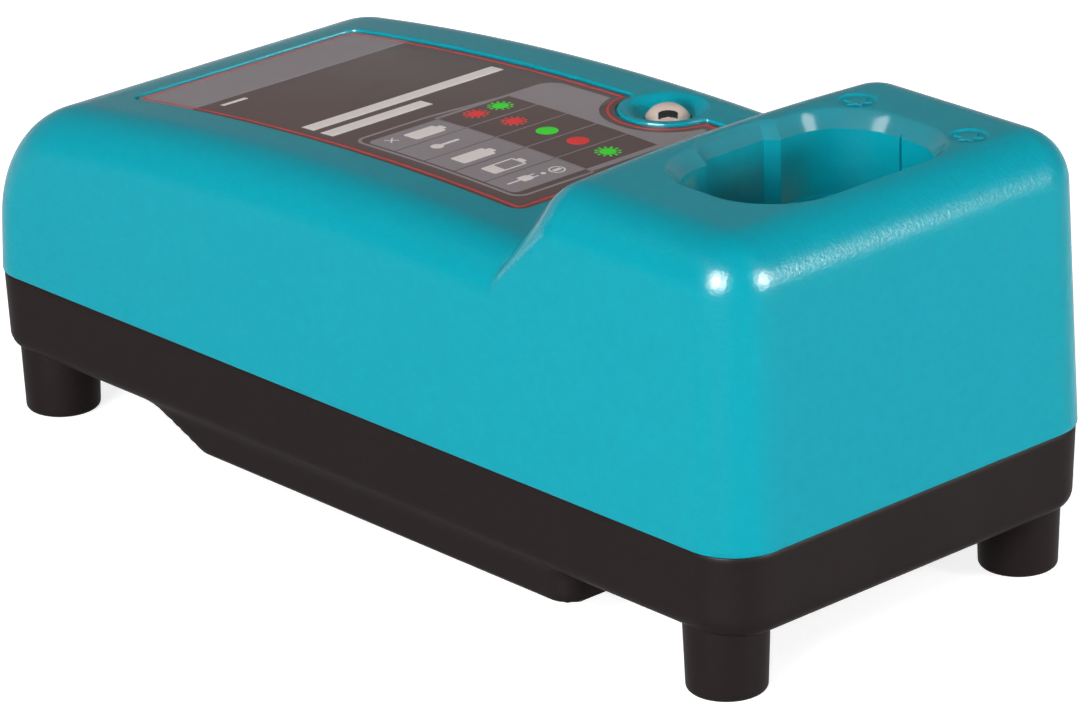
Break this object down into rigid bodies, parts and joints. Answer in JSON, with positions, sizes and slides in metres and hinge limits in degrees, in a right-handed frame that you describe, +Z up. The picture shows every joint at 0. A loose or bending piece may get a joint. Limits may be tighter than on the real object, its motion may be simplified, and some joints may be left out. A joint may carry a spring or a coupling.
{
  "type": "power tool battery charger",
  "caption": "Low desktop charger with an arched deck, a raised end pod whose deep round-cornered well takes a stick battery, sprung contacts and cone feet.",
  "frame": {"origin": "centre of the bounding box in plan, on the floor under the feet", "axes": "+X along the casing towards the battery pod, +Y across it, +Z up"},
  "size_m": [0.226, 0.1, 0.0913],
  "materials": {
    "teal_plastic": "satin",
    "black_plastic": "satin",
    "zinc_steel": "zinc plated",
    "label_film": "satin",
    "clear_lens": "clear",
    "lamp_resin": "diffused",
    "glass_fibre_board": "solder mask",
    "grey_ribbon": "extruded",
    "insulating_film": "film",
    "ferrite": "pressed",
    "black_moulding": "moulded",
    "yellow_tape": "taped",
    "choke_coating": "coated",
    "copper_wire": "enamelled",
    "heatsink_aluminium": "extruded",
    "capacitor_sleeve": "shrink sleeve",
    "yellow_box": "moulded",
    "blue_coating": "dipped",
    "fuse_glass": "clear",
    "contact_brass": "rolled",
    "relay_case": "moulded",
    "resistor_coat": "coated",
    "white_nylon": "moulded",
    "wire_insulation": "extruded",
    "tinned_brass": "tinned",
    "gland_rubber": "moulded"
  },
  "bodies": {
    "body": {"upper_casing": "teal_plastic", "lower_casing": "black_plastic", "casing_screws": "zinc_steel", "label_plate": "label_film", "status_lens": "clear_lens", "status_lamp": "lamp_resin", "lamp_board": "glass_fibre_board", "lamp_board_screws": "zinc_steel", "lamp_lead": "grey_ribbon", "main_board": "glass_fibre_board", "board_screws": "zinc_steel", "insulating_sheet": "insulating_film", "transformer_core": "ferrite", "transformer_bobbin": "black_moulding", "transformer_winding": "yellow_tape", "choke_core": "choke_coating", "choke_winding": "copper_wire", "primary_heatsink": "heatsink_aluminium", "switching_transistor": "black_moulding", "output_heatsink": "heatsink_aluminium", "output_rectifier": "black_moulding", "heatsink_screws": "zinc_steel", "bridge_rectifier": "black_moulding", "bulk_capacitor": "capacitor_sleeve", "output_capacitors": "capacitor_sleeve", "suppression_capacitor": "yellow_box", "varistor": "blue_coating", "fuse": "fuse_glass", "fuse_clips": "contact_brass", "relay": "relay_case", "control_chip": "black_moulding", "optocouplers": "black_moulding", "resistors": "resistor_coat", "mains_connector": "white_nylon", "output_connector": "white_nylon", "output_wires": "wire_insulation", "terminal_block": "black_moulding", "terminal_tabs": "tinned_brass", "terminal_screws": "zinc_steel", "cord_gland": "gland_rubber", "cord_clamp": "black_moulding", "clamp_screws": "zinc_steel"},
    "contact_minus": {"contact_minus": "contact_brass"},
    "contact_sense": {"contact_sense": "contact_brass"},
    "contact_plus": {"contact_plus": "contact_brass"}
  },
  "joints": [
    {"name": "contact_minus_spring", "type": "hinge", "parent": "body", "child": "contact_minus", "pos_m": [0.0755, 0.02838, 0.0501], "axis": [-1, 0, 0], "range_deg": [0, 5.4], "stiffness_Nm_per_rad": 0.4},
    {"name": "contact_sense_spring", "type": "hinge", "parent": "body", "child": "contact_sense", "pos_m": [0.0829, 0.0291, 0.0501], "axis": [-1, 0, 0], "range_deg": [0, 5.4], "stiffness_Nm_per_rad": 0.4},
    {"name": "contact_plus_spring", "type": "hinge", "parent": "body", "child": "contact_plus", "pos_m": [0.0903, 0.02838, 0.0501], "axis": [-1, 0, 0], "range_deg": [0, 5.4], "stiffness_Nm_per_rad": 0.4}
  ]
}
